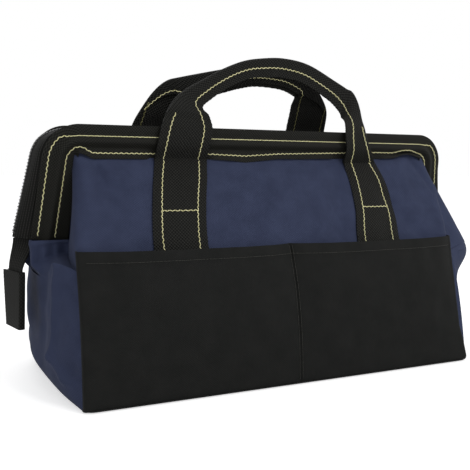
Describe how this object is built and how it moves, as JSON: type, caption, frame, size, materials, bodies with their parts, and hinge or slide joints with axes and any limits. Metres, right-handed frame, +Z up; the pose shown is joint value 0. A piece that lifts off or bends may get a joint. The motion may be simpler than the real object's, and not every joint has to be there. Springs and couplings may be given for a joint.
{
  "type": "tool organizer bag",
  "caption": "Gate-mouth fabric tool bag with a hinged U-frame zip mouth, webbing carry handles on stitched straps, and open outside pockets on its long sides.",
  "frame": {"origin": "middle of the bag's outline on the surface that it stands on", "axes": "+X along the mouth and the handles, +Y from the front side to the rear side, +Z up"},
  "size_m": [0.4872, 0.194, 0.3032],
  "materials": {
    "body_fabric": "navy woven polyester",
    "pocket_fabric": "black coated polyester",
    "webbing": "black ribbed webbing with yellow stitching",
    "zip_tape": "charcoal twill tape",
    "zip_coil": "satin nylon coil",
    "frame_steel": "zinc-plated wire",
    "slider_metal": "nickel-plated",
    "base_board": "stiff sheet"
  },
  "bodies": {
    "bag_body": {"base_panel": "pocket_fabric", "base_board": "base_board", "front_panel_lower": "body_fabric", "front_panel_upper": "body_fabric", "rear_panel_lower": "body_fabric", "rear_panel_upper": "body_fabric", "left_gusset": "body_fabric", "left_gusset_fold": "body_fabric", "right_gusset": "body_fabric", "right_gusset_fold": "body_fabric", "front_pocket_panel": "pocket_fabric", "rear_pocket_panel": "pocket_fabric", "front_left_strap": "webbing", "front_right_strap": "webbing", "rear_left_strap": "webbing", "rear_right_strap": "webbing", "left_pivot_tab": "webbing", "right_pivot_tab": "webbing", "left_pivot_rivet": "frame_steel", "right_pivot_rivet": "frame_steel"},
    "front_frame": {"front_frame_rod": "frame_steel", "front_mouth_band": "webbing", "front_zip_tape": "zip_tape", "front_zip_coil": "zip_coil"},
    "rear_frame": {"rear_frame_rod": "frame_steel", "rear_mouth_band": "webbing", "rear_zip_tape": "zip_tape", "rear_zip_coil": "zip_coil"},
    "front_handle": {"front_handle": "webbing"},
    "rear_handle": {"rear_handle": "webbing"},
    "zip_slider": {"zip_slider": "slider_metal"},
    "zip_pull": {"zip_pull": "slider_metal"},
    "left_zip_end": {"left_zip_tail": "zip_tape", "left_zip_tab": "webbing"},
    "right_zip_end": {"right_zip_tail": "zip_tape", "right_zip_tab": "webbing"}
  },
  "joints": [
    {"name": "front_frame_hinge", "type": "hinge", "parent": "bag_body", "child": "front_frame", "pos_m": [0, 0, 0.12], "axis": [1, 0, 0], "range_deg": [0, 55], "deforming": ["front_panel_upper", "front_left_strap", "front_right_strap", "left_gusset_fold", "right_gusset_fold"]},
    {"name": "rear_frame_hinge", "type": "hinge", "parent": "bag_body", "child": "rear_frame", "pos_m": [0, 0, 0.12], "axis": [-1, 0, 0], "range_deg": [0, 55], "deforming": ["rear_panel_upper", "rear_left_strap", "rear_right_strap"]},
    {"name": "front_handle_hinge", "type": "hinge", "parent": "front_frame", "child": "front_handle", "pos_m": [0, -0.0276, 0.2033], "axis": [1, 0, 0], "range_deg": [0, 90]},
    {"name": "rear_handle_hinge", "type": "hinge", "parent": "rear_frame", "child": "rear_handle", "pos_m": [0, 0.0276, 0.2033], "axis": [-1, 0, 0], "range_deg": [0, 90]},
    {"name": "zip_slide", "type": "slide", "parent": "rear_frame", "child": "zip_slider", "axis": [-0.229, 0, 0.9734], "range_m": [0, 0.045]},
    {"name": "zip_pull_hinge", "type": "hinge", "parent": "zip_slider", "child": "zip_pull", "pos_m": [0.23809, 0, 0.15457], "axis": [0, -1, 0], "range_deg": [0, 110]},
    {"name": "left_zip_end_hinge", "type": "hinge", "parent": "bag_body", "child": "left_zip_end", "pos_m": [-0.2388, 0, 0.1334], "axis": [0, 1, 0], "range_deg": [0, 35]},
    {"name": "right_zip_end_hinge", "type": "hinge", "parent": "bag_body", "child": "right_zip_end", "pos_m": [0.2388, 0, 0.1334], "axis": [0, -1, 0], "range_deg": [0, 35]}
  ]
}
